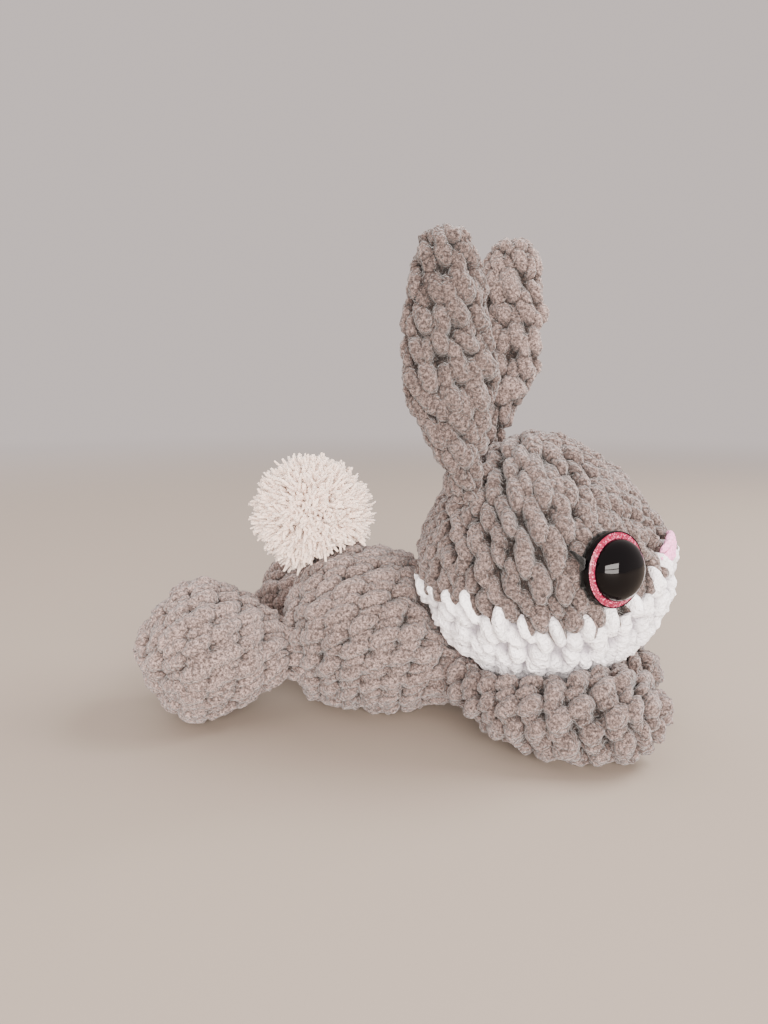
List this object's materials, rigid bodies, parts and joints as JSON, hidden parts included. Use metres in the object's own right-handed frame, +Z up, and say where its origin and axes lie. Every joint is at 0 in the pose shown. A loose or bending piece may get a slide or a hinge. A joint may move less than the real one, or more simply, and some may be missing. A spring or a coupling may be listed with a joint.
{
  "type": "crocheted plush rabbit",
  "caption": "Crocheted chenille-yarn plush rabbit lying on its belly with upright ears, a white lower face, plastic safety eyes and a pompom tail; a still toy.",
  "frame": {"origin": "on the floor, under the middle of the bounding box", "axes": "+X towards the nose along the trunk, +Y to the rabbit's left, +Z up"},
  "size_m": [0.1914, 0.122, 0.1762],
  "materials": {
    "grey_yarn": "thick chenille (velvet) yarn, warm grey, single crochet",
    "white_yarn": "thick chenille (velvet) yarn, white, single crochet",
    "pink_yarn": "embroidered satin stitch in pale pink yarn",
    "cream_yarn": "fluffy cut pompom yarn, cream white",
    "eye_plastic": "domed safety eye, clear gloss over a black pupil and a pink glitter iris",
    "black_felt": "black felt washer with a pointed lash"
  },
  "bodies": {
    "root": {"head": "grey_yarn", "chin": "white_yarn", "nose": "pink_yarn", "eye_right": "eye_plastic", "eye_left": "eye_plastic", "eye_felt_right": "black_felt", "eye_felt_left": "black_felt", "ear_right": "grey_yarn", "ear_left": "grey_yarn", "trunk": "grey_yarn", "hindleg_right": "grey_yarn", "hindleg_left": "grey_yarn", "foreleg_right": "grey_yarn", "foreleg_left": "grey_yarn", "tail": "cream_yarn"}
  },
  "joints": []
}
